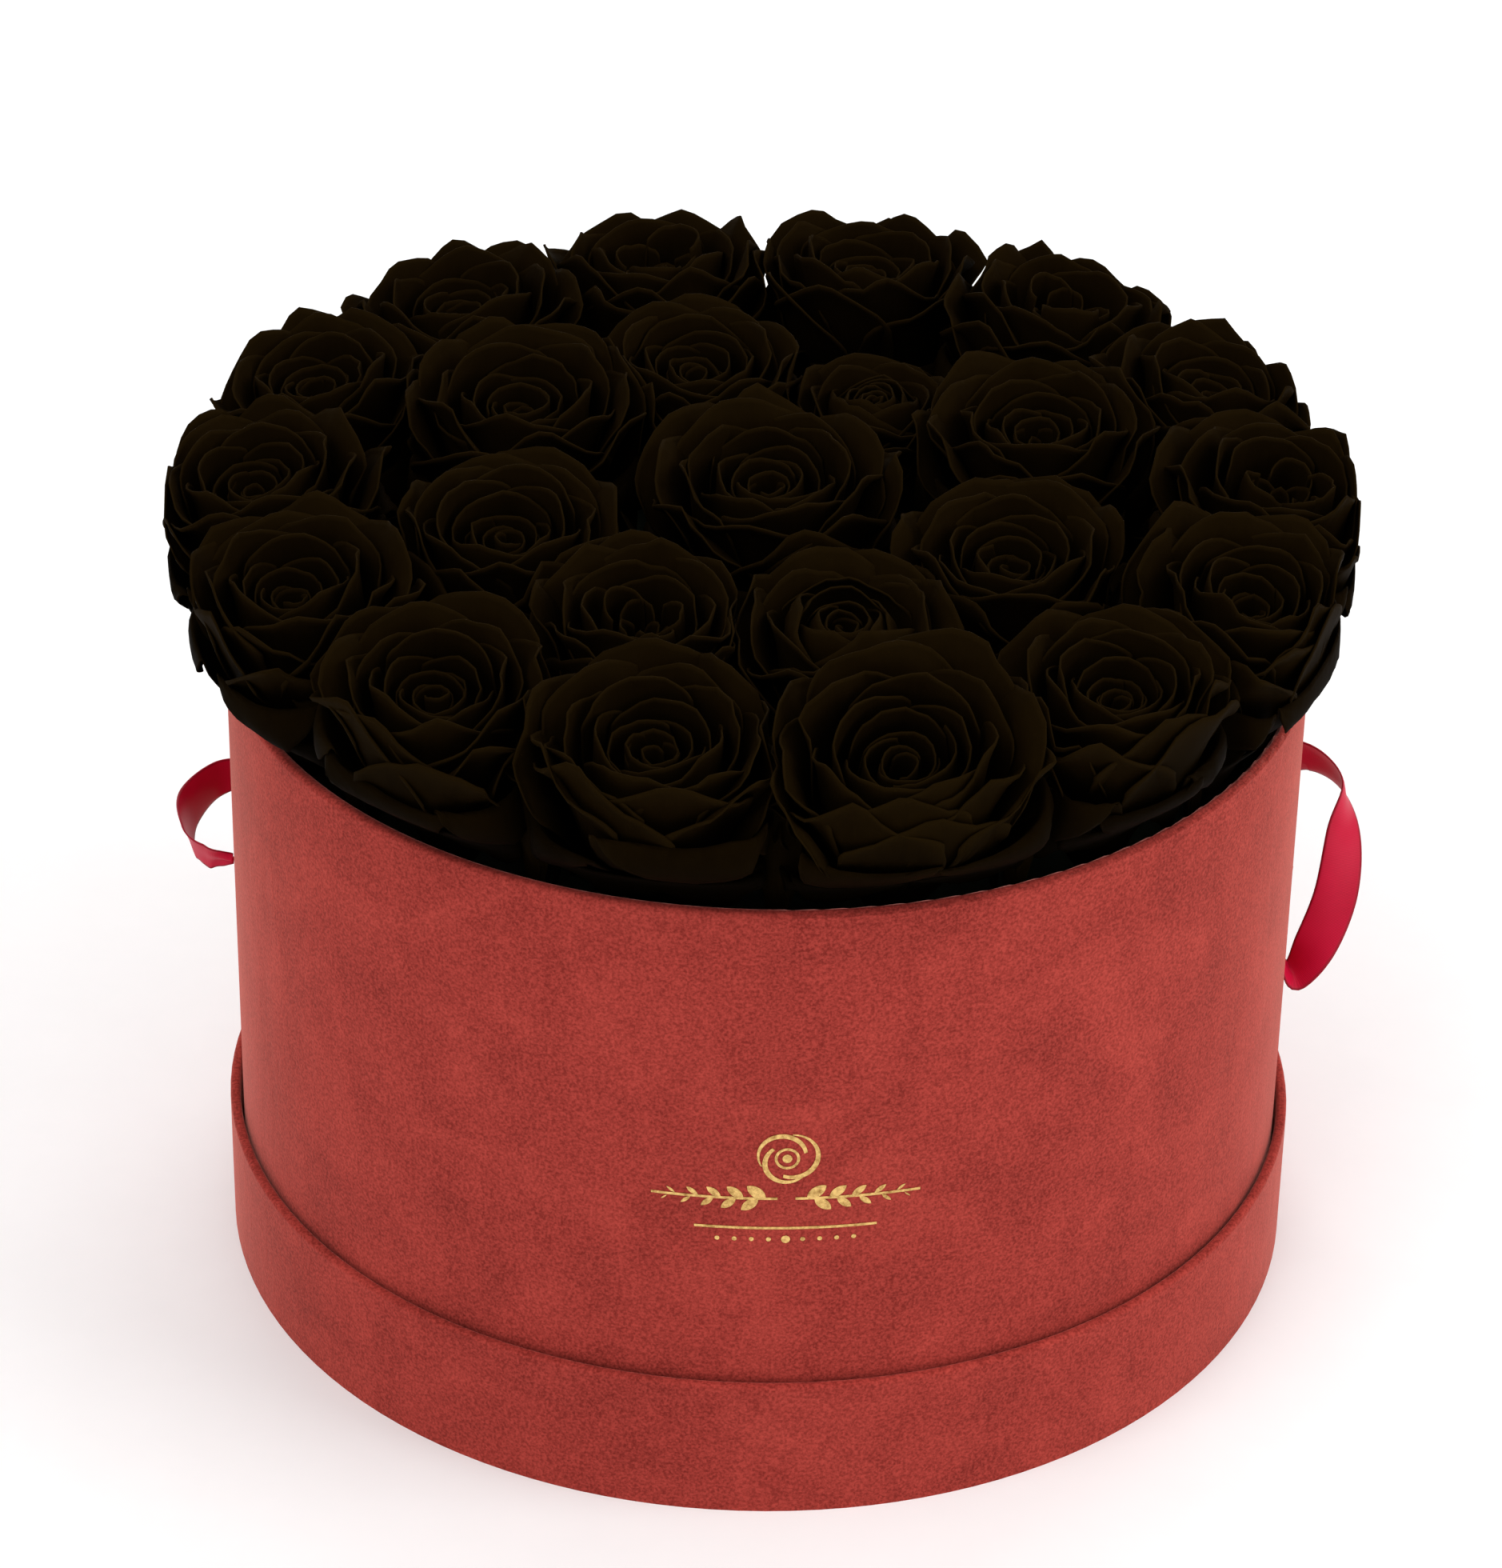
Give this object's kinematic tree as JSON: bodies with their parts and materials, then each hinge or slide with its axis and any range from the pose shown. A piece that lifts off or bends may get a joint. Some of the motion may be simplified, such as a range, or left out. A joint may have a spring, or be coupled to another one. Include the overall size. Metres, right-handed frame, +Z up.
{
  "type": "flower box",
  "caption": "Round suede-covered hat box of preserved roses set in foam, standing in its upturned lid, with a satin ribbon loop handle on each side.",
  "frame": {"origin": "middle of the underside of the upturned lid, on the surface the box stands on", "axes": "+Z up along the box's own axis, the foil emblem faces -Y, the handles are on +X and -X"},
  "size_m": [0.3293, 0.3064, 0.2349],
  "materials": {
    "suede": "soft brushed nap",
    "greyboard": "matt",
    "lining_light": "matt",
    "lining_dark": "matt",
    "foil": "hot-stamped foil",
    "foam": "matt open-cell florist foam",
    "stem": "matt",
    "sepal": "matt preserved leaf",
    "petal": "soft preserved petal",
    "satin": "satin weave ribbon"
  },
  "bodies": {
    "lid": {"lid_suede_disc": "suede", "lid_top_board": "greyboard", "lid_wall_board": "greyboard", "lid_suede_band": "suede", "lid_wall_lining": "lining_light", "lid_floor_lining": "lining_light"},
    "box": {"box_wall_board": "greyboard", "box_base_board": "greyboard", "box_suede_wrap": "suede", "box_wall_lining": "lining_dark", "box_base_lining": "lining_dark", "box_base_paper": "lining_light", "emblem_foil": "foil", "foam_lower_left": "foam", "foam_lower_mid": "foam", "foam_lower_right": "foam", "foam_upper_front": "foam", "foam_upper_mid": "foam", "foam_upper_back": "foam", "rose_stems": "stem", "rose_calyxes": "sepal", "rose_outer_01": "petal", "rose_outer_02": "petal", "rose_outer_03": "petal", "rose_outer_04": "petal", "rose_outer_05": "petal", "rose_outer_06": "petal", "rose_outer_07": "petal", "rose_outer_08": "petal", "rose_outer_09": "petal", "rose_outer_10": "petal", "rose_outer_11": "petal", "rose_outer_12": "petal", "rose_outer_13": "petal", "rose_outer_14": "petal", "rose_middle_1": "petal", "rose_middle_2": "petal", "rose_middle_3": "petal", "rose_middle_4": "petal", "rose_middle_5": "petal", "rose_middle_6": "petal", "rose_middle_7": "petal", "rose_middle_8": "petal", "rose_centre": "petal", "ribbon_right_ends": "satin", "ribbon_left_ends": "satin"},
    "handle_right": {"ribbon_right_loop": "satin"},
    "handle_left": {"ribbon_left_loop": "satin"}
  },
  "joints": [
    {"name": "box_lift", "type": "slide", "parent": "lid", "child": "box", "axis": [0, 0, 1], "range_m": [0, 0.05]},
    {"name": "handle_right_swing", "type": "hinge", "parent": "box", "child": "handle_right", "pos_m": [0.1371, 0.02964, 0.099], "axis": [0.2113, -0.9774, 0], "range_deg": [0, 40]},
    {"name": "handle_left_swing", "type": "hinge", "parent": "box", "child": "handle_left", "pos_m": [-0.1371, 0.02964, 0.099], "axis": [0.2113, 0.9774, 0], "range_deg": [-60, 55]}
  ]
}
